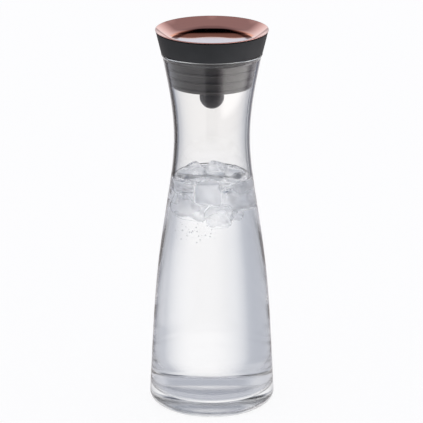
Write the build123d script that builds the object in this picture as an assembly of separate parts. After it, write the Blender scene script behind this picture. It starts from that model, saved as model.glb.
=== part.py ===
"""A one-litre water carafe with a stopper whose dished lid rocks open when it is poured.

Millimetres. +Z is up and the foot stands on Z = 0; -Y is the side that it is poured from.
Everything but the spider's arms, the snap ring's gap and the nut is turned about the Z axis.
"""

import os
from math import asin, cos, degrees, radians, sin, sqrt, tan

from build123d import *

# Whole carafe
height = 290.0

# Glass: one blown vessel with a heavy base, outer radii at heights up the wall
base_wall_point = (47.44, 9.0)
wall_stations = ((44.89, 55.0), (40.99, 105.0), (33.28, 160.0), (28.35, 207.0), (33.04, 252.0))
body_lean = 3.1
neck_flare = 0.19
heel_radius = 6.0
foot_inner_radius = 37.0
punt_depth = 2.0
floor_height = 10.5
floor_corner_radius = 9.0
wall = 2.1
bead_center = (36.0, 271.8)
bead_radius = 1.4
bead_start_angle = -64.0

# Lid: a pressed steel dish with a rounded edge; bends are (outer radius, bend radius) from its flat floor out
lid_sheet = 0.6
lid_edge_radius = 41.45
dish_floor_radius = 12.0
dish_bends = ((29.0, 80.0), (34.0, 17.5), (lid_edge_radius, 62.0))

# Collar: the flared silicone ring between the glass and the lid
collar_bottom = 273.3
collar_bottom_radius = 37.6
collar_top_radius = 41.4
collar_seat_gap = 0.1
seat_inner_radius = 38.2
funnel_middle = (34.8, 280.5)
funnel_foot_radius = 29.2

# Stopper core: the rigid tube that the collar, the sleeve and the spider sit on
core_bottom = 248.6
core_bore_bottom_radius = 25.0
core_bore_ledge_radius = 27.2
core_wall_bottom_radius = 26.8
core_wall_top_radius = 31.2
flange_bottom = 274.5
flange_top = 276.3
flange_radius = 36.4
ledge_height = 268.0
counterbore_radius = 28.6

# Sealing sleeve: ribbed silicone round the core
sleeve_bottom = 248.2
rib_heights = (250.4, 256.7, 263.1, 269.4)
rib_tip = 0.5
rib_root = 1.1
rib_clearance = 0.3
sleeve_depth_below_ribs = 1.5
sleeve_shoulder_bottom = 271.6
sleeve_shoulder_radius = 34.0

# Guide spider, its bush and the snap ring that keeps it on the core's ledge
spider_thickness = 3.0
spider_rim_inner_radius = 26.2
arm_count = 3
arm_width = 3.0
hub_radius = 11.8
hub_bottom = 267.0
hub_top = 272.0
bush_outer_radius = 9.8
bush_bore_radius = 8.0
bush_flange_radius = 11.2
bush_flange_thickness = 0.8
snap_ring_thickness = 1.0
snap_ring_inner_radius = 27.4
snap_groove_radius = 29.0
snap_ring_gap = 6.0

# Stem under the lid, with its boss and lock nut
stem_radius = 2.0
stem_top = 278.4
boss_radius = 5.0
boss_head_radius = 7.5
boss_head_thickness = 1.2
boss_bottom = 273.5
nut_across_flats = 7.0
nut_thickness = 3.2

# Counterweight ball on the stem's lower end
ball_height = 239.1
ball_radius = 9.1
ball_core_radius = 8.0
insert_radius = 3.2
insert_bottom = 234.5
insert_top = 246.9
insert_flange_radius = 3.9
insert_flange_thickness = 0.5
stem_bottom = 235.5
stem_hole_clearance = 0.1


def lathe(*edges):
    """Solid turned about Z from a closed outline of edges drawn as (radius, height)."""
    return revolve(Plane.XZ * make_face(list(edges)), Axis.Z)


def ring(inner, outer, low, high):
    """Plain ring between two radii and two heights."""
    outline = Polyline((inner, low), (outer, low), (outer, high), (inner, high), close=True)
    return lathe(*outline.edges())


def neck_bore(z):
    """Inner radius of the glass at a height in the flared neck, where the wall is a straight cone."""
    station_radius, station_height = wall_stations[-1]
    return station_radius - wall + neck_flare * (z - station_height)


def dish_arcs():
    """Arcs of the dish's middle surface above its floor, as (centre, bend radius, slope in, slope out), and its rise."""
    radius = dish_floor_radius
    rise = 0
    slope = 0
    arcs = []
    for outer_radius, bend_radius in dish_bends:
        center = (radius - bend_radius * sin(slope), rise + bend_radius * cos(slope))
        slope_out = asin(sin(slope) + (outer_radius - radius) / bend_radius)
        arcs.append((center, bend_radius, slope, slope_out))
        rise = center[1] - bend_radius * cos(slope_out)
        radius = outer_radius
        slope = slope_out
    return arcs, rise


# The dish's middle surface, halfway through its sheet
sheet_half = lid_sheet / 2
dish_edge_height = height - sheet_half
arcs_of_dish, dish_rise = dish_arcs()
dish_floor_height = dish_edge_height - dish_rise
dish_edge_slope = arcs_of_dish[-1][-1]


def dish_wall_point(radius, offset):
    """Point at a radius of the dish's outermost bend, on the surface that lies offset below its middle."""
    (center_radius, center_rise), bend_radius, _, _ = arcs_of_dish[-1]
    drop = sqrt((bend_radius + offset) ** 2 - (radius - center_radius) ** 2)
    return (radius, dish_floor_height + center_rise - drop)


def dish_surface(offset):
    """Floor and bends of the surface that lies offset below the dish's middle, from the axis out."""
    floor_low = dish_floor_height - offset
    edges = [Line((0, floor_low), (dish_floor_radius, floor_low))]
    for (center_radius, center_rise), bend_radius, slope, slope_out in arcs_of_dish:
        center = (center_radius, dish_floor_height + center_rise)
        turn = degrees(slope_out - slope)
        edges.append(CenterArc(center, bend_radius + offset, degrees(slope) - 90, turn))
    return edges


def glass_vessel():
    """The bottle: foot ring, heel, leaning body, waist, flared neck, rim bead and thick floor."""
    lean = radians(body_lean)
    heel_width = heel_radius * cos(lean)
    heel_top = heel_radius * (1 + sin(lean))
    base_radius, base_station = base_wall_point
    wall_at_heel = base_radius + (base_station - heel_top) * tan(lean)
    foot_radius = wall_at_heel - heel_width
    heel = JernArc((foot_radius, 0), (1, 0), heel_radius, 90 + body_lean)

    bead_turn = 180 - bead_start_angle
    bead = CenterArc(bead_center, bead_radius, bead_start_angle, bead_turn)
    up_the_body = (-sin(lean), cos(lean))
    up_the_neck = (neck_flare, 1)
    outside = Spline(heel @ 1, *wall_stations, bead @ 0, tangents=(up_the_body, up_the_neck))

    corner_width = floor_corner_radius * cos(lean)
    corner_top = floor_height + floor_corner_radius * (1 + sin(lean))
    inner_at_corner = base_radius - wall - (corner_top - base_station) * tan(lean)
    corner_start = (inner_at_corner - corner_width, floor_height)
    corner = JernArc(corner_start, (1, 0), floor_corner_radius, 90 + body_lean)
    inner_stations = [(r - wall, z) for r, z in wall_stations]
    inside = Spline(corner @ 1, *inner_stations, bead @ 1, tangents=(up_the_body, up_the_neck))

    floor = Line((0, floor_height), corner @ 0)
    axis = Line((0, floor_height), (0, punt_depth))
    half_punt = foot_inner_radius / 2
    punt = ThreePointArc((0, punt_depth), (half_punt, punt_depth * 0.75), (foot_inner_radius, 0))
    foot = Line((foot_inner_radius, 0), heel @ 0)
    return lathe(axis, punt, foot, heel, outside, bead, inside, corner, floor)


def pouring_collar():
    """Flared silicone ring: it grips the core's flange, sits on the glass rim and seats the lid."""
    seat_offset = sheet_half + collar_seat_gap
    seat_middle_radius = (collar_top_radius + seat_inner_radius) / 2
    seat_radii = (collar_top_radius, seat_middle_radius, seat_inner_radius)
    seat = ThreePointArc(*[dish_wall_point(radius, seat_offset) for radius in seat_radii])
    foot = (funnel_foot_radius, flange_top)
    funnel = ThreePointArc(seat @ 1, funnel_middle, foot)
    groove = Polyline(
        foot,
        (flange_radius, flange_top),
        (flange_radius, flange_bottom),
        (sleeve_shoulder_radius, flange_bottom),
        (sleeve_shoulder_radius, collar_bottom),
        (collar_bottom_radius, collar_bottom),
        seat @ 0,
    )
    return lathe(seat, funnel, *groove.edges())


def stopper_core():
    """Rigid tapered tube with a flange, a ledge for the spider and a groove for the snap ring."""
    groove_low = ledge_height + spider_thickness
    groove_high = groove_low + snap_ring_thickness
    outline = Polyline(
        (core_bore_bottom_radius, core_bottom),
        (core_wall_bottom_radius, core_bottom),
        (core_wall_top_radius, flange_bottom),
        (flange_radius, flange_bottom),
        (flange_radius, flange_top),
        (counterbore_radius, flange_top),
        (counterbore_radius, groove_high),
        (snap_groove_radius, groove_high),
        (snap_groove_radius, groove_low),
        (counterbore_radius, groove_low),
        (counterbore_radius, ledge_height),
        (core_bore_ledge_radius, ledge_height),
        close=True,
    )
    return lathe(*outline.edges())


def sealing_sleeve():
    """Silicone sleeve on the core's outside, with ribs that press on the neck."""
    taper = (core_wall_top_radius - core_wall_bottom_radius) / (flange_bottom - core_bottom)
    inner_bottom = core_wall_bottom_radius - taper * (core_bottom - sleeve_bottom)
    points = [(inner_bottom, sleeve_bottom), (neck_bore(sleeve_bottom) - sleeve_depth_below_ribs, sleeve_bottom)]
    for z in rib_heights:
        body = neck_bore(z) - rib_clearance - sleeve_depth_below_ribs
        tip = neck_bore(z) - rib_clearance
        points += [(body, z - rib_root), (tip, z - rib_tip), (tip, z + rib_tip), (body, z + rib_root)]
    points += [
        (neck_bore(sleeve_shoulder_bottom) - rib_clearance - sleeve_depth_below_ribs, sleeve_shoulder_bottom),
        (sleeve_shoulder_radius, sleeve_shoulder_bottom),
        (sleeve_shoulder_radius, flange_bottom),
        (core_wall_top_radius, flange_bottom),
    ]
    outline = Polyline(*points, close=True)
    return lathe(*outline.edges())


def guide_spider():
    """Rim and hub joined by arms; the hub keeps the stem near the middle and the ball below it."""
    spider_top = ledge_height + spider_thickness
    rim = ring(spider_rim_inner_radius, counterbore_radius, ledge_height, spider_top)
    hub = ring(bush_outer_radius, hub_radius, hub_bottom, hub_top)
    arm_start = (bush_outer_radius + hub_radius) / 2
    arm_end = (spider_rim_inner_radius + counterbore_radius) / 2
    arm_place = Location(((arm_start + arm_end) / 2, 0, ledge_height + spider_thickness / 2))
    arm = arm_place * Box(arm_end - arm_start, arm_width, spider_thickness)
    spider = rim + hub
    for index in range(arm_count):
        spider += Rot(0, 0, 90 + index * 360 / arm_count) * arm
    return spider


def guide_bush():
    """Low-friction ring in the spider's hub, with a flange on top."""
    outline = Polyline(
        (bush_bore_radius, hub_bottom),
        (bush_outer_radius, hub_bottom),
        (bush_outer_radius, hub_top),
        (bush_flange_radius, hub_top),
        (bush_flange_radius, hub_top + bush_flange_thickness),
        (bush_bore_radius, hub_top + bush_flange_thickness),
        close=True,
    )
    return lathe(*outline.edges())


def spider_snap_ring():
    """Split spring ring in the core's groove, on top of the spider's rim."""
    low = ledge_height + spider_thickness
    whole = ring(snap_ring_inner_radius, snap_groove_radius, low, low + snap_ring_thickness)
    cut_place = Location((0, snap_groove_radius, low))
    return whole - cut_place * Box(snap_ring_gap, snap_groove_radius, 4 * snap_ring_thickness)


def lid_dish():
    """Pressed dish of one thickness, its edge rounded and polished."""
    top = dish_surface(-sheet_half)
    under = dish_surface(sheet_half)
    tip_radius = lid_edge_radius + sheet_half * cos(dish_edge_slope)
    tip_height = dish_edge_height + sheet_half * sin(dish_edge_slope)
    edge = ThreePointArc(top[-1] @ 1, (tip_radius, tip_height), under[-1] @ 1)
    axis = Line(under[0] @ 0, top[0] @ 0)
    return lathe(*top, edge, *under, axis)


def stem_boss():
    """Threaded boss welded under the middle of the dish."""
    head_top = dish_floor_height - sheet_half
    head_low = head_top - boss_head_thickness
    outline = Polyline(
        (0, head_top),
        (boss_head_radius, head_top),
        (boss_head_radius, head_low),
        (boss_radius, head_low),
        (boss_radius, boss_bottom),
        (stem_radius, boss_bottom),
        (stem_radius, stem_top),
        (0, stem_top),
        close=True,
    )
    return lathe(*outline.edges())


def stem():
    """Steel rod from the boss down into the ball."""
    rod = Pos(0, 0, (stem_bottom + stem_top) / 2) * Cylinder(stem_radius, stem_top - stem_bottom)
    ends = rod.edges().filter_by(GeomType.CIRCLE)
    return chamfer(ends, stem_radius / 5)


def stem_locknut():
    """Hexagon nut that locks the rod in the boss."""
    hexagon = RegularPolygon(nut_across_flats / 2, 6, major_radius=False)
    nut = extrude(hexagon - Circle(stem_radius), nut_thickness)
    return Pos(0, 0, boss_bottom - nut_thickness) * nut


def insert_envelope():
    """Outside of the brass insert, before its thread hole is cut."""
    flange_low = insert_top - insert_flange_thickness
    outline = Polyline(
        (0, insert_bottom),
        (insert_radius, insert_bottom),
        (insert_radius, flange_low),
        (insert_flange_radius, flange_low),
        (insert_flange_radius, insert_top),
        (0, insert_top),
        close=True,
    )
    return lathe(*outline.edges())


def stem_hole(clearance, low):
    """Cylinder that cuts the rod's hole, from a height up to above the ball."""
    length = ball_height + 2 * ball_radius - low
    return Pos(0, 0, low + length / 2) * Cylinder(stem_radius + clearance, length)


def ball_insert():
    """Brass thread insert that the rod screws into."""
    return insert_envelope() - stem_hole(0, stem_bottom)


def drilled_ball(ball):
    """A ball in its place under the lid, cut for the insert and the rod."""
    placed = Pos(0, 0, ball_height) * ball
    return placed - insert_envelope() - stem_hole(stem_hole_clearance, insert_top)


def ball_core():
    """Steel weight inside the ball."""
    return drilled_ball(Sphere(ball_core_radius))


def ball_cover():
    """Dark moulded skin round the steel weight, open on top for the rod."""
    return drilled_ball(Sphere(ball_radius) - Sphere(ball_core_radius))


nodes = {
    "glass_vessel": glass_vessel(),
    "pouring_collar": pouring_collar(),
    "stopper_core": stopper_core(),
    "sealing_sleeve": sealing_sleeve(),
    "guide_spider": guide_spider(),
    "guide_bush": guide_bush(),
    "spider_snap_ring": spider_snap_ring(),
    "lid_dish": lid_dish(),
    "stem_boss": stem_boss(),
    "stem": stem(),
    "stem_locknut": stem_locknut(),
    "ball_core": ball_core(),
    "ball_insert": ball_insert(),
    "ball_cover": ball_cover(),
}

os.makedirs("parts", exist_ok=True)
for name, solid in nodes.items():
    export_step(solid, f"parts/{name}.step")
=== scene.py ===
"""A glass carafe of iced water, with a ribbed stopper and a dished, copper-coloured lid that rocks open."""

import math

import bmesh
import bpy
import numpy as np
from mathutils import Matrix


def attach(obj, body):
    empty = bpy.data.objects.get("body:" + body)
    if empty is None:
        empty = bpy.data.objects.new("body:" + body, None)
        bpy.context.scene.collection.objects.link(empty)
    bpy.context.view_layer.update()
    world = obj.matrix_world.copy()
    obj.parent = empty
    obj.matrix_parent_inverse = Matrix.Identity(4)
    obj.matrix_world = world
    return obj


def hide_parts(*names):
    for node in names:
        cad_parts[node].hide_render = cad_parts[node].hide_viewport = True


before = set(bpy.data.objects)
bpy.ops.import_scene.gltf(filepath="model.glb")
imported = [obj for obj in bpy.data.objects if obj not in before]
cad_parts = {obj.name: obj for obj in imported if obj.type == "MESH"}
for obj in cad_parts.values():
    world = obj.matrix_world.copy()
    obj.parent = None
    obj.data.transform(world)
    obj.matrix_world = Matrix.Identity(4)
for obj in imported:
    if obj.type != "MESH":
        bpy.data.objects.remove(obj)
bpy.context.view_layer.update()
scene = bpy.context.scene
scene.view_settings.view_transform = "Standard"

# The camera: a long lens 1.7 m in front of the carafe, which looks down on it by 18 degrees. Its place is in
# metres, its lens and sensor in mm.
camera_distance = 1.700
camera_height = 0.7127
camera_pitch = math.radians(18.343)
camera_lens = 202.8
sensor_width = 36.0
axis_pixels_right_of_middle = 0.4
image_pixels = 423
camera_data = bpy.data.cameras.new("camera")
camera_data.lens = camera_lens
camera_data.sensor_width = sensor_width
camera_data.shift_x = -axis_pixels_right_of_middle / image_pixels
camera = bpy.data.objects.new("camera", camera_data)
camera.location = (0, -camera_distance, camera_height)
camera.rotation_euler = (math.pi / 2 - camera_pitch, 0, 0)
scene.collection.objects.link(camera)
scene.camera = camera


# The vessel: one piece of clear blown glass with a heavy floor, a waist and a flared neck whose rim
# is melted to a round bead. Its base is a little hollow, so that it stands on a flat ring.
# Sizes are in mm and angles in degrees, and the stations are heights with the outer radius there.
MM = 0.001
glass_stations = (
    (9.0, 47.44),
    (55.0, 44.89),
    (105.0, 40.99),
    (160.0, 33.28),
    (207.0, 28.35),
    (252.0, 33.04),
)
lean_angle = 3.1
body_lean = math.tan(math.radians(lean_angle))
neck_flare = 0.19
wall = 2.1
heel_radius = 6.0
foot_inner_radius = 37.0
punt_depth = 2.0
floor_height = 10.5
floor_corner_radius = 9.0
bead_radius = 1.4
bead_center = (36.0, 271.8)
bead_meets_wall = 64.0
bead_start, bead_end = -60.0, 176.0
wall_top = bead_center[1] - bead_radius
wall_rings = 150
bend_steps = 14
bead_steps = 22
floor_rings = 16
glass_segments = 224


def flowing_line(stations, slope_in, slope_out, at):
    """Clamped cubic spline: the curve of least bending through the stations, with given end slopes."""
    x, y = np.transpose(stations)
    gap = np.diff(x)
    secant = np.diff(y) / gap
    diagonal = 2 * np.r_[gap[0], gap[:-1] + gap[1:], gap[-1]]
    system = np.diag(diagonal) + np.diag(gap, 1) + np.diag(gap, -1)
    bend = np.linalg.solve(system, 6 * np.diff(np.r_[slope_in, secant, slope_out]))
    k = np.clip(np.searchsorted(x, at) - 1, 0, len(gap) - 1)
    t = at - x[k]
    slope = secant[k] - gap[k] * (2 * bend[k] + bend[k + 1]) / 6
    return y[k] + t * slope + bend[k] * t**2 / 2 + (bend[k + 1] - bend[k]) / (6 * gap[k]) * t**3


def glass_radius(z):
    """Outer radius of the vessel at a height above the heel, in mm."""
    meeting = math.radians(bead_meets_wall)
    tip_height = bead_center[1] - bead_radius * math.sin(meeting)
    tip_radius = bead_center[0] + bead_radius * math.cos(meeting)
    return flowing_line((*glass_stations, (tip_height, tip_radius)), -body_lean, neck_flare, z)


def arc(center, radius, start, end, steps):
    """Points (radius, height) on a circle from one angle to another, in degrees from the +r axis."""
    angle = np.radians(np.linspace(start, end, steps))
    return np.column_stack((center[0] + radius * np.cos(angle), center[1] + radius * np.sin(angle)))


def smooth_piece(name, points, faces):
    """New smooth-shaded object in the scene, from points in metres."""
    mesh = bpy.data.meshes.new(name)
    mesh.from_pydata(points.tolist(), [], faces)
    mesh.polygons.foreach_set("use_smooth", np.ones(len(faces), bool))
    mesh.update()
    piece = bpy.data.objects.new(name, mesh)
    scene.collection.objects.link(piece)
    return piece


def turned(name, outline, segments, closed=False):
    """Surface of revolution (r cos a, r sin a, z) of an outline in mm, whose outside is on its right.
    An open outline starts and ends on the axis, where it is closed with a fan."""
    outline = np.asarray(outline, float) * MM
    rings = outline if closed else outline[1:-1]
    angle = np.arange(segments) * 2 * np.pi / segments
    points = np.stack(
        (
            rings[:, :1] * np.cos(angle),
            rings[:, :1] * np.sin(angle),
            np.repeat(rings[:, 1:], segments, axis=1),
        ),
        axis=-1,
    ).reshape(-1, 3)
    count = len(rings)
    row = np.arange(count if closed else count - 1)[:, None]
    column = np.arange(segments)[None, :]
    here = row * segments + column
    beside = row * segments + (column + 1) % segments
    above = (row + 1) % count * segments + column
    above_beside = (row + 1) % count * segments + (column + 1) % segments
    faces = np.stack((here, beside, above_beside, above), axis=-1).reshape(-1, 4).tolist()
    if not closed:
        low, high = len(points), len(points) + 1
        points = np.vstack((points, (0, 0, outline[0, 1]), (0, 0, outline[-1, 1])))
        first = np.arange(segments)
        second = (first + 1) % segments
        top = (count - 1) * segments
        faces += np.stack((second, first, np.full(segments, low)), axis=-1).tolist()
        faces += np.stack((top + first, top + second, np.full(segments, high)), axis=-1).tolist()
    return smooth_piece(name, points, faces)


def material(name):
    """New node material, as (material, node tree, Principled shader)."""
    made = bpy.data.materials.new(name)
    made.use_nodes = True
    return made, made.node_tree, made.node_tree.nodes["Principled BSDF"]


def clear_material(name, colour, ior):
    """New clear material with an index of refraction, as (material, node tree, Principled shader)."""
    made, tree, shader = material(name)
    shader.inputs["Base Color"].default_value = (*colour, 1)
    shader.inputs["IOR"].default_value = ior
    shader.inputs["Transmission Weight"].default_value = 1.0
    return made, tree, shader


def wire(tree, kind, *inputs, **settings):
    """Adds a node to a tree, sets or links its inputs in order, and gives its first output."""
    node = tree.nodes.new(kind)
    for setting, value in settings.items():
        setattr(node, setting, value)
    for socket, value in zip(node.inputs, inputs):
        if isinstance(value, bpy.types.NodeSocket):
            tree.links.new(value, socket)
        elif value is not None:
            socket.default_value = value
    return node.outputs[0]


def calc(tree, operation, *inputs):
    """Math node in a tree."""
    return wire(tree, "ShaderNodeMath", *inputs, operation=operation)


def spread(tree, value, low=0, high=1, out_low=0, out_high=1):
    """A value moved from one range to another, and held at its ends."""
    return wire(tree, "ShaderNodeMapRange", value, low, high, out_low, out_high)


def noise(tree, where, per_metre, octaves):
    """Smooth noise between 0 and 1 at a position, with about so many features in a metre."""
    return wire(tree, "ShaderNodeTexNoise", where, None, per_metre, octaves)


def axis_distance(tree, where):
    """Distance of a position from the Z axis: the length of its x and y alone."""
    level = wire(tree, "ShaderNodeVectorMath", where, (1, 1, 0), operation="MULTIPLY")
    length = tree.nodes.new("ShaderNodeVectorMath")
    length.operation = "LENGTH"
    tree.links.new(level, length.inputs[0])
    return length.outputs["Value"]


def shared_effect(name, features, per_metre, outputs):
    """New shader node group that reads a position and how many features lie in a metre, as (tree, what it
    reads, what it gives)."""
    effect = bpy.data.node_groups.new(name, "ShaderNodeTree")
    effect.interface.new_socket("Position", in_out="INPUT", socket_type="NodeSocketVector")
    scale = effect.interface.new_socket(features, in_out="INPUT", socket_type="NodeSocketFloat")
    scale.default_value = per_metre
    for output in outputs:
        effect.interface.new_socket(output, in_out="OUTPUT", socket_type="NodeSocketFloat")
    return effect, effect.nodes.new("NodeGroupInput").outputs, effect.nodes.new("NodeGroupOutput").inputs


def place(tree, effect, per_metre):
    """A shared effect in a material, at the piece's own coordinates, with so many features in a metre."""
    node = tree.nodes.new("ShaderNodeGroup")
    node.node_tree = effect
    where = tree.nodes.new("ShaderNodeTexCoord")
    tree.links.new(where.outputs["Object"], node.inputs[0])
    node.inputs[1].default_value = per_metre
    return node.outputs


def raised(tree, shader, height, depth):
    """Bump on a shader from a height between 0 and 1 and a depth in mm."""
    bump = tree.nodes.new("ShaderNodeBump")
    bump.inputs["Distance"].default_value = depth * MM
    tree.links.new(height, bump.inputs["Height"])
    tree.links.new(bump.outputs["Normal"], shader.inputs["Normal"])


lowest_height, lowest_radius = glass_stations[0]
heel_center_radius = lowest_radius + (lowest_height - heel_radius) * body_lean - heel_radius
heel_top = heel_radius * (1 + math.sin(math.radians(lean_angle)))
outside_heights = np.linspace(heel_top, wall_top, wall_rings)
inside_heights = np.linspace(bead_center[1], floor_height + floor_corner_radius, wall_rings)
heel = arc((heel_center_radius, heel_radius), heel_radius, -90, lean_angle, bend_steps)
outside = np.column_stack((glass_radius(outside_heights), outside_heights))
bead = arc(bead_center, bead_radius, bead_start, bead_end, bead_steps)
inside = np.column_stack((glass_radius(inside_heights) - wall, inside_heights))
corner_center = (inside[-1, 0] - floor_corner_radius, floor_height + floor_corner_radius)
corner = arc(corner_center, floor_corner_radius, lean_angle, -90, bend_steps)
punt_radii = np.linspace(0, foot_inner_radius, floor_rings)
punt = np.column_stack((punt_radii, punt_depth * (1 - (punt_radii / foot_inner_radius) ** 2)))
floor_radii = np.linspace(corner_center[0], 0, floor_rings)
floor_line = np.column_stack((floor_radii, np.full(floor_rings, floor_height)))
glass_outline = np.vstack((punt, heel, outside[1:], bead, inside[1:], corner[1:], floor_line[1:]))
vessel = turned("glass_vessel_clear", glass_outline, glass_segments)

# Patches where hands have dulled a surface a little: broad noise, held between none and full
handled, reads, gives = shared_effect("handled", "Patches per metre", 40.0, ("Dull",))
patches = noise(handled, reads[0], reads[1], octaves=4.0)
handled.links.new(spread(handled, patches, low=0.4, high=0.7), gives["Dull"])

# The glass is uneven in broad waves, and its surface round the inside of the floor is a little rough: that
# fades out between each pair of lengths in mm
uneven_radii = (44.6, 45.4)
uneven_bottom = (6.0, 8.0)
uneven_top = (16.0, 26.0)
uneven_roughness = 0.12
handled_roughness = 0.01
clear_glass, tree, shader = clear_material("clear_glass", (0.991, 0.991, 0.994), ior=1.5)
where = tree.nodes.new("ShaderNodeTexCoord").outputs["Object"]
split = tree.nodes.new("ShaderNodeSeparateXYZ")
tree.links.new(where, split.inputs[0])
radius_in_mm = calc(tree, "DIVIDE", axis_distance(tree, where), MM)
height_in_mm = calc(tree, "DIVIDE", split.outputs[2], MM)
inside_wall = spread(tree, radius_in_mm, *uneven_radii, 1, 0)
above_punt = spread(tree, height_in_mm, *uneven_bottom, 0, 1)
below_body = spread(tree, height_in_mm, *uneven_top, 1, 0)
uneven = calc(tree, "MULTIPLY", inside_wall, calc(tree, "MULTIPLY", above_punt, below_body))
dull = spread(tree, place(tree, handled, per_metre=25.0)["Dull"], out_high=handled_roughness)
tree.links.new(calc(tree, "MULTIPLY_ADD", uneven, uneven_roughness, dull), shader.inputs["Roughness"])
raised(tree, shader, place(tree, handled, per_metre=14.0)["Dull"], depth=0.02)
vessel.data.materials.append(clear_glass)
vessel.visible_shadow = False
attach(vessel, "carafe")
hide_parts("glass_vessel")


# The water: about 0.8 litre, up to a little above the shoulder. It wets the glass, so its surface climbs the
# wall in a short curve, and it swells and dips a little between the ice.
water_height = 178.0
glass_overlap = 0.3
climb = 0.9
climb_length = 1.2
swell = 0.35
calm_edge = 5.0
surface_rings = 30
finest_ring = 0.25
side_rings = 100
water_segments = 192
water_heights = np.linspace(floor_height + floor_corner_radius, water_height + climb, side_rings)
water_side = np.column_stack((glass_radius(water_heights) - wall + glass_overlap, water_heights))
water_corner = arc(corner_center, floor_corner_radius + glass_overlap, -90, lean_angle, bend_steps)
from_wall = np.geomspace(finest_ring, water_side[-1, 0] + finest_ring, surface_rings) - finest_ring
water_top_heights = water_height + climb * np.exp(-from_wall / climb_length)
water_top = np.column_stack((water_side[-1, 0] - from_wall, water_top_heights))
water_outline = np.vstack(((0, floor_height - glass_overlap), water_corner, water_side[1:], water_top[1:]))
water = turned("water", water_outline, water_segments)


def swollen(points):
    """Rise of the water at points in mm: crossing waves, in radians per mm, that die out at the glass."""
    x, y = points[:, 0], points[:, 1]
    to_wall = water_side[-1, 0] - glass_overlap - np.hypot(x, y)
    waves = np.sin(0.31 * x + 0.4) * np.cos(0.27 * y - 0.9) + 0.5 * np.sin(0.63 * y + 0.2 * x + 1.1)
    on_top = (points[:, 2] > water_height - climb / 2) & (to_wall > 0)
    return np.where(on_top, swell * np.clip(to_wall / calm_edge, 0, 1) * waves, 0)


spots = np.empty(3 * len(water.data.vertices))
water.data.vertices.foreach_get("co", spots)
spots = spots.reshape(-1, 3)
spots[:, 2] += swollen(spots / MM) * MM
water.data.vertices.foreach_set("co", spots.ravel())
clear_water, _, shader = clear_material("water", (0.99, 0.99, 0.995), ior=1.33)
shader.inputs["Roughness"].default_value = 0.0
water.data.materials.append(clear_water)
water.visible_shadow = False
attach(water, "carafe")


# The ice: cubes from a tray, melted round. The upper ones float with their backs out of the water and hold
# down the others. Under water they almost vanish, apart from their edges and the frozen air inside them.
# Each row is a cube's name, center and half sizes in mm, and its turns about x, y and z in degrees.
ice_cubes = (
    ("left", (-15.0, 3.0, 173.9), (10.4, 9.5, 9.2), (8, -17, 20)),
    ("middle", (2.6, 2.0, 177.6), (7.4, 8.0, 9.4), (-6, 12, -8)),
    ("right", (16.2, 1.5, 174.4), (7.6, 8.6, 8.8), (5, 14, -25)),
    ("back", (-1.5, 19.0, 170.0), (8.5, 6.0, 7.5), (10, 4, 5)),
    ("front", (-3.0, -16.5, 168.4), (9.0, 7.5, 7.8), (-12, 6, 12)),
    ("low left", (-14.0, -5.0, 156.0), (10.5, 10.0, 8.8), (20, 10, 35)),
    ("low right", (14.0, 8.0, 157.0), (10.2, 9.8, 8.8), (-14, 12, 50)),
    ("low front", (5.0, -18.0, 151.5), (8.6, 7.6, 7.2), (16, -14, -20)),
    ("low back", (-6.0, 17.0, 153.5), (9.4, 8.6, 8.0), (12, 18, 25)),
    ("chip", (17.5, -19.0, 153.0), (4.4, 3.0, 3.4), (30, 20, 15)),
)
ice_squareness = 5.0
ice_rows = 44
ice_columns = 72
dry_below_surface = 0.9
wet_below_surface = 1.3
cloud_below_surface = 2.6
cloud_size = 0.86


def all_directions(rows, columns):
    """Grid of unit vectors (sin p cos a, sin p sin a, cos p): the first row points up and the last down."""
    polar = np.linspace(0, np.pi, rows)[:, None]
    around = np.linspace(0, 2 * np.pi, columns, endpoint=False)[None, :]
    level = np.sin(polar)
    return np.stack((level * np.cos(around), level * np.sin(around), np.cos(polar) + 0 * around), -1)


def melted_cube(center, half, tips, swollen_by=0.035, size=1.0):
    """Grid of points on a melted cube: |x/a|^n + |y/b|^n + |z/c|^n = 1 along every direction from its
    center, with slow waves over its faces, then tipped about x and y and turned about z."""
    ways = all_directions(ice_rows, ice_columns)
    reach = (np.abs(ways) ** ice_squareness).sum(-1) ** (-1 / ice_squareness)
    x, y, z = np.moveaxis(ways, -1, 0)
    shift = center[0] + 2 * center[1]
    waves = np.sin(4.1 * x + 3.3 * z + shift) + np.sin(5.2 * y - 2.9 * x)
    spots = ways * (reach * size * (1 + swollen_by * waves))[..., None] * half
    (cos_x, cos_y, cos_z), (sin_x, sin_y, sin_z) = np.cos(np.radians(tips)), np.sin(np.radians(tips))
    about_x = np.array(((1, 0, 0), (0, cos_x, -sin_x), (0, sin_x, cos_x)))
    about_y = np.array(((cos_y, 0, sin_y), (0, 1, 0), (-sin_y, 0, cos_y)))
    about_z = np.array(((cos_z, -sin_z, 0), (sin_z, cos_z, 0), (0, 0, 1)))
    return spots @ (about_z @ about_y @ about_x).T + center


def shells(name, grids):
    """One piece of closed shells, each a grid of points in mm whose first and last rows are its poles."""
    points, faces, start = [], [], 0
    for grid in grids:
        rows, columns = grid.shape[:2]
        row = np.arange(rows - 3)[:, None] * columns
        here = start + row + np.arange(columns)
        beside = start + row + (np.arange(columns) + 1) % columns
        faces += np.stack((here, here + columns, beside + columns, beside), -1).reshape(-1, 4).tolist()
        top = start + (rows - 2) * columns
        first, second = here[0], beside[0]
        last = (rows - 3) * columns
        faces += np.stack((np.full(columns, top), first, second), -1).tolist()
        faces += np.stack((np.full(columns, top + 1), second + last, first + last), -1).tolist()
        points += [grid[1:-1].reshape(-1, 3), grid[0, :1], grid[-1, :1]]
        start = top + 2
    return smooth_piece(name, np.vstack(points) * MM, faces)


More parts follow.
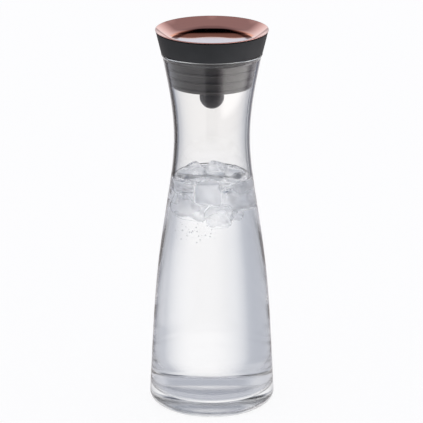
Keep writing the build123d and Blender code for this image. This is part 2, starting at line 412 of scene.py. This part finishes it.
def kept_side(piece, height, up):
    """Cuts a piece level at a height in mm, keeps what is above (up = 1) or below (-1) and closes it."""
    solid = bmesh.new()
    solid.from_mesh(piece.data)
    everything = solid.verts[:] + solid.edges[:] + solid.faces[:]
    level = (0, 0, height * MM)
    bmesh.ops.bisect_plane(solid, geom=everything, plane_co=level, plane_no=(0, 0, up), clear_inner=True)
    open_edges = [edge for edge in solid.edges if edge.is_boundary]
    bmesh.ops.holes_fill(solid, edges=open_edges)
    bmesh.ops.recalc_face_normals(solid, faces=solid.faces)
    solid.to_mesh(piece.data)
    solid.free()


def finish_ice(piece, made):
    """Gives a piece in the water its material, and lets it ride with the carafe."""
    piece.data.materials.append(made)
    piece.visible_shadow = False
    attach(piece, "carafe")


ice_grids = [melted_cube(*cube[1:]) for cube in ice_cubes]
dry_ice = shells("ice_above_water", [grid for grid in ice_grids if grid[..., 2].max() > water_height])
kept_side(dry_ice, water_height - dry_below_surface, 1)
wet_ice = shells("ice_under_water", ice_grids)
kept_side(wet_ice, water_height - wet_below_surface, -1)

# The ripples and hazy patches that freezing and melting leave on ice
melt_waves, reads, gives = shared_effect("melt_waves", "Waves per metre", 120.0, ("Height", "Cloud"))
ripple = noise(melt_waves, reads[0], reads[1], octaves=1.0)
melt_waves.links.new(ripple, gives["Height"])
melt_waves.links.new(spread(melt_waves, ripple, low=0.42, high=0.62), gives["Cloud"])


def clear_ice(name, waves, depth, ior, haze):
    """Clear ice, or air, with a waved and partly hazy surface. Its index of refraction is the one against
    what lies round it."""
    made, tree, shader = clear_material(name, (0.99, 0.995, 1.0), ior)
    effect = place(tree, melt_waves, waves)
    raised(tree, shader, effect["Height"], depth)
    roughness = spread(tree, effect["Cloud"], out_low=haze / 4, out_high=haze)
    tree.links.new(roughness, shader.inputs["Roughness"])
    return made


finish_ice(dry_ice, clear_ice("ice_in_air", waves=60.0, depth=0.6, ior=1.31, haze=0.3))
finish_ice(wet_ice, clear_ice("ice_in_water", waves=60.0, depth=1.0, ior=0.972, haze=0.4))

# Air that froze in the middle of the cubes: a cloud that lets light through but blurs it
cloud_grids = [melted_cube(*cube[1:], swollen_by=0.12, size=cloud_size) for cube in ice_cubes]
clouds = shells("ice_frozen_air", cloud_grids)
kept_side(clouds, water_height - cloud_below_surface, -1)
frozen_air, tree, shader = clear_material("frozen_air", (0.99, 0.993, 1.0), ior=1.15)
shader.inputs["Roughness"].default_value = 0.8
cloud = place(tree, melt_waves, per_metre=110.0)["Cloud"]
tree.links.new(spread(tree, cloud, out_low=0.35, out_high=0.95), shader.inputs["Alpha"])
finish_ice(clouds, frozen_air)

# Small bubbles that hang below the ice on the left, set out by a spiral that turns by the golden angle.
# Their heights and sizes follow sines of their number, so that they look scattered. The turns are in radians.
bubble_count = 44
bubble_rows = 9
bubble_columns = 12
swarm_middle = (-10.0, -8.0)
swarm_reach = 13.0
swarm_flatness = 0.9
swarm_top = 142.5
swarm_depth = 11.0
smallest_bubble = 0.2
bubble_growth = 0.3
golden_turn = 2.39996
height_turn = 1.7
size_turn = 2.3
bubble_index = np.arange(bubble_count)
bubble_reach = swarm_reach * np.sqrt((bubble_index + 0.5) / bubble_count)
bubble_x = swarm_middle[0] + bubble_reach * np.cos(golden_turn * bubble_index)
bubble_y = swarm_middle[1] + swarm_flatness * bubble_reach * np.sin(golden_turn * bubble_index)
bubble_z = swarm_top - swarm_depth * np.abs(np.sin(height_turn * bubble_index)) ** 1.5
bubble_radius = smallest_bubble + bubble_growth * np.sin(size_turn * bubble_index + 0.5) ** 2
bubble_directions = all_directions(bubble_rows, bubble_columns)
bubble_grids = [
    np.array(spot) + radius * bubble_directions
    for *spot, radius in zip(bubble_x, bubble_y, bubble_z, bubble_radius)
]
bubbles = shells("bubbles", bubble_grids)
finish_ice(bubbles, clear_ice("air_in_water", waves=30.0, depth=0.0, ior=0.75, haze=0.0))

# Light turns many times between the faces of the glass, the water and the ice before it leaves them
light_turns = 28
scene.cycles.max_bounces = light_turns
scene.cycles.transmission_bounces = light_turns
scene.cycles.glossy_bounces = light_turns
scene.cycles.transparent_max_bounces = light_turns


# The lid: a dish pressed from thin steel, polished and coated copper colour, with a rounded edge. Its middle
# is almost flat, and it bends up in smooth stretches. It lies loose on the collar.
sheet = 0.6
lid_top = 290.0
lid_edge_radius = 41.45
lid_edge_height = lid_top - sheet / 2
dish_bends = ((12.0, 380.0), (24.0, 125.0), (29.0, 53.0), (34.0, 17.6), (lid_edge_radius, 62.1))
dish_steps = 16
edge_steps = 13
lid_segments = 256


def dish_side(offset):
    """The dish from the axis out, offset mm below the middle of its sheet, and its edge's slope in degrees.
    Each bend is an arc (outer radius, bend radius) that starts at the slope where the last one ended."""
    radius, rise, slope = 0.0, 0.0, 0.0
    stretches = [np.array(((0, -offset),))]
    for outer_radius, bend in dish_bends:
        center = (radius - bend * math.sin(slope), rise + bend * math.cos(slope))
        end_slope = math.asin(math.sin(slope) + (outer_radius - radius) / bend)
        start, end = math.degrees(slope) - 90, math.degrees(end_slope) - 90
        stretches.append(arc(center, bend + offset, start, end, dish_steps)[1:])
        radius, rise, slope = outer_radius, center[1] - bend * math.cos(end_slope), end_slope
    return np.vstack(stretches) + (0, lid_edge_height - rise), math.degrees(slope)


dish_under, edge_slope = dish_side(sheet / 2)
dish_top, _ = dish_side(-sheet / 2)
edge = arc((lid_edge_radius, lid_edge_height), sheet / 2, edge_slope - 90, edge_slope + 90, edge_steps)
lid = turned("lid_dish_polished", np.vstack((dish_under, edge[1:-1], dish_top[::-1])), lid_segments)

# Fine lines left by turning and polishing round the axis: noise read by radius and height alone
turned_lines, reads, gives = shared_effect("turned_lines", "Lines per metre", 3000.0, ("Height", "Shade"))
split = turned_lines.nodes.new("ShaderNodeSeparateXYZ")
turned_lines.links.new(reads[0], split.inputs[0])
profile = wire(turned_lines, "ShaderNodeCombineXYZ", axis_distance(turned_lines, reads[0]), split.outputs[2])
lines = noise(turned_lines, profile, reads[1], octaves=3.0)
turned_lines.links.new(lines, gives["Height"])
turned_lines.links.new(spread(turned_lines, lines, low=0.3, high=0.7), gives["Shade"])


def two_tone(tree, shader, mask, dark, pale):
    """Base colour between two tones, by a mask."""
    tone = wire(tree, "ShaderNodeMixRGB", mask, (*dark, 1), (*pale, 1))
    tree.links.new(tone, shader.inputs["Base Color"])


def roughened(tree, shader, clean, added, patches):
    """Roughness of a surface where it is clean, with what handling adds in so many patches per metre."""
    dull = place(tree, handled, patches)["Dull"]
    tree.links.new(spread(tree, dull, out_low=clean, out_high=clean + added), shader.inputs["Roughness"])


copper, tree, shader = material("copper_coated_steel")
polish = place(tree, turned_lines, per_metre=900.0)
two_tone(tree, shader, polish["Shade"], dark=(0.79, 0.42, 0.375), pale=(0.81, 0.44, 0.395))
shader.inputs["Metallic"].default_value = 1.0
shader.inputs["Coat Weight"].default_value = 1.0
shader.inputs["Coat Roughness"].default_value = 0.03
roughened(tree, shader, clean=0.05, added=0.03, patches=45.0)
raised(tree, shader, polish["Height"], depth=0.0002)
lid.data.materials.append(copper)
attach(lid, "lid")
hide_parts("lid_dish")


# The collar: a soft silicone ring, moulded in one with its pouring funnel. It grips the core's flange,
# stands on the glass rim and carries the lid's edge.
collar_bottom = 273.3
collar_bottom_radius = 37.6
collar_top_radius = 41.4
collar_bottom_rounding = 0.5
collar_top_rounding = 0.35
seat_gap = 0.1
seat_inner_radius = 38.2
funnel_middle = (34.8, 280.5)
funnel_foot = (29.2, 276.3)
flange_radius = 36.4
flange_bottom = 274.5
sleeve_shoulder_radius = 34.0
nearly_straight = math.radians(178)
rounding_steps = 6
seat_rings = 6
funnel_rings = 12
rubber_segments = 192


def rounded(corners):
    """Closed outline through corners (radius, height, rounding) in mm, each turned into an arc that touches
    both of its sides."""
    corners = np.asarray(corners, float)
    outline = []
    for before, corner, after in zip(np.roll(corners, 1, axis=0), corners, np.roll(corners, -1, axis=0)):
        back = (before - corner)[:2]
        ahead = (after - corner)[:2]
        back /= np.hypot(*back)
        ahead /= np.hypot(*ahead)
        half = math.acos(np.clip(back @ ahead, -1, 1)) / 2
        if corner[2] == 0 or 2 * half > nearly_straight:
            outline.append(corner[:2])
            continue
        middle = corner[:2] + (back + ahead) / np.hypot(*(back + ahead)) * corner[2] / math.sin(half)
        touch = corner[:2] + back * corner[2] / math.tan(half) - middle
        turn = math.copysign(math.pi - 2 * half, back[1] * ahead[0] - back[0] * ahead[1])
        for step in np.linspace(0, turn, rounding_steps):
            cos, sin = math.cos(step), math.sin(step)
            outline.append(middle + (touch[0] * cos - touch[1] * sin, touch[0] * sin + touch[1] * cos))
    return np.array(outline)


def bowed(start, middle, end, steps):
    """Points on the parabola z(r) through three points (radius, height) in mm."""
    (r0, z0), (r1, z1), (r2, z2) = start, middle, end
    r = np.linspace(r0, r2, steps)
    first = z0 * (r - r1) * (r - r2) / ((r0 - r1) * (r0 - r2))
    second = z1 * (r - r0) * (r - r2) / ((r1 - r0) * (r1 - r2))
    third = z2 * (r - r0) * (r - r1) / ((r2 - r0) * (r2 - r1))
    return np.column_stack((r, first + second + third))


seat_line, _ = dish_side(sheet / 2 + seat_gap)
seat_radii = np.linspace(collar_top_radius, seat_inner_radius, seat_rings)
seat = np.column_stack((seat_radii, np.interp(seat_radii, seat_line[:, 0], seat_line[:, 1])))
funnel = bowed(seat[-1], funnel_middle, funnel_foot, funnel_rings)
collar_corners = np.vstack(
    (
        (flange_radius, funnel_foot[1], 0),
        (flange_radius, flange_bottom, 0),
        (sleeve_shoulder_radius, flange_bottom, 0),
        (sleeve_shoulder_radius, collar_bottom, 0),
        (collar_bottom_radius, collar_bottom, collar_bottom_rounding),
        (*seat[0], collar_top_rounding),
        np.column_stack((np.vstack((seat[1:], funnel[1:])), np.zeros(len(seat) + len(funnel) - 2))),
    )
)
collar = turned("pouring_collar_soft", rounded(collar_corners), rubber_segments, closed=True)

# The fine grain that a mould leaves on rubber and plastic
mould_grain, reads, gives = shared_effect("mould_grain", "Grains per metre", 3000.0, ("Height", "Shade"))
grains_per_mottle = 40.0
coarse = noise(mould_grain, reads[0], reads[1], octaves=4.0)
mottle = noise(mould_grain, reads[0], calc(mould_grain, "DIVIDE", reads[1], grains_per_mottle), octaves=3.0)
mould_grain.links.new(coarse, gives["Height"])
both = calc(mould_grain, "MULTIPLY", coarse, mottle)
mould_grain.links.new(spread(mould_grain, both, low=0.15, high=0.4), gives["Shade"])


def moulded(name, dark, pale, roughness, grains, depth, gloss=0.5):
    """Moulded rubber or plastic: two close tones, a fine grain and patches dulled by handling."""
    made, tree, shader = material(name)
    grain = place(tree, mould_grain, grains)
    two_tone(tree, shader, grain["Shade"], dark, pale)
    roughened(tree, shader, clean=roughness, added=0.1, patches=60.0)
    raised(tree, shader, grain["Height"], depth)
    shader.inputs["Specular IOR Level"].default_value = gloss
    return made


collar_silicone = moulded(
    "collar_silicone",
    dark=(0.022, 0.024, 0.026),
    pale=(0.028, 0.03, 0.033),
    roughness=0.55,
    grains=3500.0,
    depth=0.006,
    gloss=0.3,
)
collar.data.materials.append(collar_silicone)
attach(collar, "stopper")
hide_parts("pouring_collar")


# The sleeve: soft silicone, moulded and stretched round the core's tube up to its flange. Its four ribs bend
# against the glass, seal the neck and hold the stopper in it.
core_wall_bottom_radius = 26.8
core_wall_top_radius = 31.2
core_bottom = 248.6
sleeve_bottom = 248.2
sleeve_shoulder_bottom = 271.6
rib_heights = (250.4, 256.7, 263.1, 269.4)
rib_half_width = 0.55
rib_root_half_width = 0.95
rib_clearance = 0.06
rib_rounding = 0.3
sleeve_below_ribs = 0.75
sleeve_bottom_rounding = 0.5
sleeve_shoulder_rise = 0.3


def neck_bore(z):
    """Inner radius of the glass at a height in the flared neck, in mm."""
    station_height, station_radius = glass_stations[-1]
    return station_radius - wall + neck_flare * (z - station_height)


sleeve_taper = (core_wall_top_radius - core_wall_bottom_radius) / (flange_bottom - core_bottom)
sleeve_inner_bottom = core_wall_bottom_radius - sleeve_taper * (core_bottom - sleeve_bottom)
sleeve_corners = [
    (sleeve_inner_bottom, sleeve_bottom, 0),
    (neck_bore(sleeve_bottom) - sleeve_below_ribs, sleeve_bottom, sleeve_bottom_rounding),
]
for rib in rib_heights:
    body_radius = neck_bore(rib) - rib_clearance - sleeve_below_ribs
    tip_radius = neck_bore(rib) - rib_clearance
    sleeve_corners += [
        (body_radius, rib - rib_root_half_width, rib_rounding),
        (tip_radius, rib - rib_half_width, rib_rounding),
        (tip_radius, rib + rib_half_width, rib_rounding),
        (body_radius, rib + rib_root_half_width, rib_rounding),
    ]
sleeve_corners += [
    (neck_bore(sleeve_shoulder_bottom) - rib_clearance - sleeve_below_ribs, sleeve_shoulder_bottom, 0),
    (sleeve_shoulder_radius, sleeve_shoulder_bottom + sleeve_shoulder_rise, 0),
    (sleeve_shoulder_radius, flange_bottom, 0),
    (core_wall_top_radius, flange_bottom, 0),
]
sleeve = turned("sealing_sleeve_soft", rounded(sleeve_corners), rubber_segments, closed=True)
sleeve_silicone = moulded(
    "sleeve_silicone",
    dark=(0.042, 0.038, 0.035),
    pale=(0.055, 0.05, 0.046),
    roughness=0.3,
    grains=3000.0,
    depth=0.004,
)
sleeve.data.materials.append(sleeve_silicone)
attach(sleeve, "stopper")
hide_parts("sealing_sleeve")


# The rigid parts inside the stopper: the moulded core tube and the spider that keeps the lid's rod near the
# middle, its slippery bush, and the spring ring that holds the spider on its ledge.
def dress(node, finish):
    """Gives a node of the frame its finish."""
    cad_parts[node].data.materials.clear()
    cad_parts[node].data.materials.append(finish)


def machined(name, dark, pale, roughness, lines, metallic=1.0):
    """Turned metal or plastic: two close tones that follow the tool's lines, dulled in patches."""
    made, tree, shader = material(name)
    marks = place(tree, turned_lines, lines)
    two_tone(tree, shader, marks["Shade"], dark, pale)
    roughened(tree, shader, clean=roughness, added=0.12, patches=120.0)
    raised(tree, shader, marks["Height"], depth=0.004)
    shader.inputs["Metallic"].default_value = metallic
    return made


core_plastic = moulded(
    "core_plastic",
    dark=(0.035, 0.035, 0.037),
    pale=(0.045, 0.045, 0.047),
    roughness=0.4,
    grains=2500.0,
    depth=0.008,
)
slippery_plastic = machined(
    "slippery_bush",
    dark=(0.68, 0.68, 0.65),
    pale=(0.78, 0.78, 0.75),
    roughness=0.4,
    lines=3000.0,
    metallic=0.0,
)
bright_steel = machined(
    "bright_steel",
    dark=(0.5, 0.49, 0.48),
    pale=(0.6, 0.59, 0.58),
    roughness=0.22,
    lines=4000.0,
)
dress("stopper_core", core_plastic)
dress("guide_spider", core_plastic)
dress("guide_bush", slippery_plastic)
dress("spider_snap_ring", bright_steel)


# The lid's rod: a turned steel rod, screwed into a boss that is welded under the dish and locked there by a
# nut. It carries the ball.
dress("stem_boss", bright_steel)
dress("stem", bright_steel)
dress("stem_locknut", bright_steel)


# The ball on the rod's lower end: a turned steel weight with a brass thread insert, in a dark moulded cover.
# The insert is screwed on the rod, and the ball's weight keeps the lid shut.
weight_steel = machined(
    "weight_steel",
    dark=(0.42, 0.41, 0.4),
    pale=(0.52, 0.51, 0.5),
    roughness=0.35,
    lines=2500.0,
)
insert_brass = machined(
    "insert_brass",
    dark=(0.68, 0.5, 0.24),
    pale=(0.78, 0.6, 0.32),
    roughness=0.28,
    lines=4000.0,
)
ball_plastic = moulded(
    "ball_plastic",
    dark=(0.035, 0.032, 0.031),
    pale=(0.045, 0.041, 0.04),
    roughness=0.35,
    grains=2500.0,
    depth=0.006,
)
dress("ball_core", weight_steel)
dress("ball_insert", insert_brass)
dress("ball_cover", ball_plastic)


# The stage: a pale floor that glows like lit paper, and a studio of soft panels and dark flags round the
# carafe. Glass and metal show the studio, and never the floor itself.
floor_size = 6.0
floor_grey = (0.25, 0.25, 0.25)
floor_glow = 0.86
bpy.ops.mesh.primitive_plane_add(size=floor_size)
stage_floor = bpy.context.object
stage_floor.name = "stage_floor"
stage_floor.visible_glossy = False
stage_floor.visible_transmission = False
floor_paint, _, shader = material("stage_floor")
shader.inputs["Base Color"].default_value = (*floor_grey, 1)
shader.inputs["Roughness"].default_value = 1.0
shader.inputs["Specular IOR Level"].default_value = 0.0
shader.inputs["Emission Color"].default_value = (1, 1, 1, 1)
shader.inputs["Emission Strength"].default_value = floor_glow
stage_floor.data.materials.append(floor_paint)

studio = bpy.data.worlds.new("studio")
scene.world = studio
studio.use_nodes = True
sky = studio.node_tree
sky.nodes.clear()
direction = sky.nodes.new("ShaderNodeTexCoord").outputs["Generated"]
split = sky.nodes.new("ShaderNodeSeparateXYZ")
sky.links.new(direction, split.inputs[0])
east, north, up = split.outputs
azimuth = calc(sky, "MULTIPLY", calc(sky, "ARCTAN2", east, north), 180 / math.pi)
elevation = calc(sky, "MULTIPLY", calc(sky, "ARCSINE", up), 180 / math.pi)


def soft_step(value, start, end):
    """Eases from 0 at one value to 1 at another."""
    return wire(sky, "ShaderNodeMapRange", value, start, end, interpolation_type="SMOOTHSTEP")


def panel(middle, half_width, side_blur, low, low_blur, high, high_blur):
    """Mask of a soft rectangular panel, in degrees of azimuth (0 behind, + to the right) and elevation."""
    turn = calc(sky, "ABSOLUTE", calc(sky, "WRAP", calc(sky, "SUBTRACT", azimuth, middle), 180, -180))
    across = soft_step(turn, half_width + side_blur, half_width)
    bottom = soft_step(elevation, low - low_blur, low)
    top = soft_step(elevation, high + high_blur, high)
    return calc(sky, "MULTIPLY", across, calc(sky, "MULTIPLY", bottom, top))


base_level = 0.26
level_through_glass = 0.62
path = sky.nodes.new("ShaderNodeLightPath")
through = path.outputs["Is Transmission Ray"]
mirrored = calc(sky, "MULTIPLY", path.outputs["Is Glossy Ray"], calc(sky, "SUBTRACT", 1.0, through))

# Panels, flags and tints are rows of: name, middle, half width and blur of the sides in azimuth, low edge
# and its blur, high edge and its blur in elevation, all in degrees, then strength, depth or colour, and which
# rays see it, where 1.0 is all of them. The brightest panel wins, flags darken it and tints colour it.
panels = (
    ("table behind", 5.25, 3.75, 56, -99, 1, -24, 9, 1.06, 1.0),
    ("table at the sides", 0, 179, 1, -99, 1, -25, 4, 0.5, 1.0),
    ("lit table in front", 180, 112, 15, -99, 1, -48, 8, 1.0, 1.0),
    ("table below", 0, 179, 1, -99, 1, -62, 16, 0.8, 1.0),
    ("glow behind the neck", 0, 1, 19, -99, 1, -14, 5, 0.95, 1.0),
    ("wall behind", 0, 34, 26, -20, 6, 24, 14, 0.55, 1.0),
    ("wall behind the ice", 0, 60, 30, -6, 9, 24, 10, 0.96, through),
    ("low lamp behind", 0, 2.5, 2, 2, 6, 16, 1.3, 1.0, 1.0),
    ("right wall", 75, 40, 30, -20, 5, 0, 20, 0.62, 1.0),
    ("right box", 105, 32, 30, -40, 8, -31, 5, 2.6, 1.0),
    ("left wall", -112, 40, 40, -22, 6, 20, 20, 0.4, 1.0),
    ("left box", -120, 34, 14, -40, 8, -29, 4, 0.45, 1.0),
    ("wall in front", 180, 50, 60, -18, 8, 60, 20, 0.5, 1.0),
    ("window behind", 0, 80, 50, 12, 4, 14, 42, 0.98, 1.0),
    ("right lamp", 78, 18, 46, 20, 10, 34, 36, 0.66, 1.0),
    ("left lamp", -78, 18, 46, 20, 10, 34, 36, 0.66, 1.0),
    ("ceiling", 0, 179, 1, 8, 8, 99, 1, 0.33, 1.0),
    ("top lamp", 0, 179, 1, 90, 20, 99, 1, 0.42, 1.0),
)
light = calc(sky, "MULTIPLY_ADD", through, level_through_glass - base_level, base_level)
for _, *shape, strength, seen_by in panels:
    glow = calc(sky, "MULTIPLY", calc(sky, "MULTIPLY", panel(*shape), strength), seen_by)
    light = calc(sky, "MAXIMUM", light, glow)
flags = (
    ("mirror flag", 0, 5, 8, 27, 3, 42, 8, 1.0, mirrored),
    ("low mirror flag", 0, 4, 5, 18.5, 1.5, 28, 4, 0.8, mirrored),
    ("left thin flag", -5.5, 1, 1.5, 15, 2, 26, 3, 0.8, mirrored),
    ("right thin flag", 5.5, 1, 1.5, 15, 2, 26, 3, 0.8, mirrored),
    ("high mirror flag", 0, 8, 20, 44, 6, 58, 16, 0.35, mirrored),
    ("low screen", 4, 20, 12, 11, 3, 24, 3, 0.8, through),
    ("high screen", 4, 22, 16, 32, 8, 40, 8, 0.15, through),
    ("left end of the table", -48, 18, 16, -30, 3, -18, 3, 0.2, through),
    ("left neck flag", -29, 12, 7, -21, 3, -7, 6, 1.0, through),
    ("right neck flag", 25, 8, 6, -20, 3, -7, 6, 0.9, through),
    ("screen before the right box", 113, 52, 8, -50, 6, -24, 4, 0.5, through),
    ("front flag", 180, 13, 9, -46, 8, -22, 6, 0.8, 1.0),
)
for _, *shape, depth, seen_by in flags:
    shade = calc(sky, "MULTIPLY", calc(sky, "MULTIPLY", panel(*shape), depth), seen_by)
    light = calc(sky, "MULTIPLY", light, calc(sky, "SUBTRACT", 1.0, shade))

# Darker light is a little bluer through glass and water, and warmer where it is mirrored. Red, green and
# blue are powers of the light, as rows of: which rays change the power, by how much, and from what.
colour_powers = ((through, 0.07, 1.0), (mirrored, 0.1, 1.0), (mirrored, 0.23, 0.85))
colours = [calc(sky, "POWER", light, calc(sky, "MULTIPLY_ADD", *power)) for power in colour_powers]
studio_colour = wire(sky, "ShaderNodeCombineXYZ", *colours)
tints = (
    ("mirrored low lamp", 0, 3, 3, 2, 6, 17, 1.3, (0.76, 0.95, 1.08, 1), mirrored),
    ("mirrored window", 0, 8, 8, 18, 1.5, 34, 10, (1.05, 0.72, 0.55, 1), mirrored),
    ("mirrored right box", 105, 62, 8, -50, 4, -24, 4, (1.14, 1.0, 1.02, 1), mirrored),
    ("low wall behind", 0, 60, 20, -16, 2, -6, 4, (1.01, 0.985, 0.955, 1), through),
)
for _, *shape, tint, seen_by in tints:
    mask = calc(sky, "MULTIPLY", panel(*shape), seen_by)
    studio_colour = wire(sky, "ShaderNodeMixRGB", mask, studio_colour, tint, blend_type="MULTIPLY")

# The camera itself sees plain white
seen = wire(sky, "ShaderNodeMixRGB", path.outputs["Is Camera Ray"], studio_colour, (1, 1, 1, 1))
background = wire(sky, "ShaderNodeBackground", seen)
sky.links.new(background, sky.nodes.new("ShaderNodeOutputWorld").inputs["Surface"])
